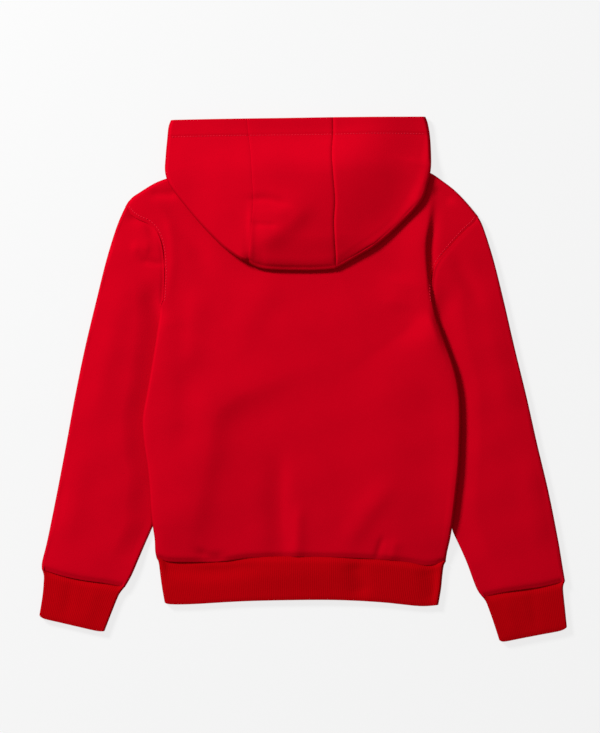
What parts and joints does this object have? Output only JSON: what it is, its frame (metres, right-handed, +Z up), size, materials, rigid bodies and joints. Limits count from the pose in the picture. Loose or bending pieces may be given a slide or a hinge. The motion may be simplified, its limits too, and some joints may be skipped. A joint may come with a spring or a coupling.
{
  "type": "kids hoodie",
  "caption": "Child's pullover hoodie in brushed fleece, laid flat on its front with the hood turned back over the shoulders, ribbed cuffs and hem band.",
  "frame": {"origin": "middle of the garment's reach, on the surface it lies on", "axes": "+X across the garment to the right in the picture, +Y from the hem towards the hood, +Z up off the surface"},
  "size_m": [0.6708, 0.6664, 0.0174],
  "materials": {
    "fleece": "red brushed fleece knit, matt with a short nap",
    "rib": "red knitted rib, matt, doubled"
  },
  "bodies": {
    "root": {"body_back": "fleece", "body_front": "fleece", "sleeve_left": "fleece", "sleeve_right": "fleece", "cuff_left": "rib", "cuff_right": "rib", "hem_band": "rib", "hood_left": "fleece", "hood_centre": "fleece", "hood_right": "fleece"}
  },
  "joints": []
}
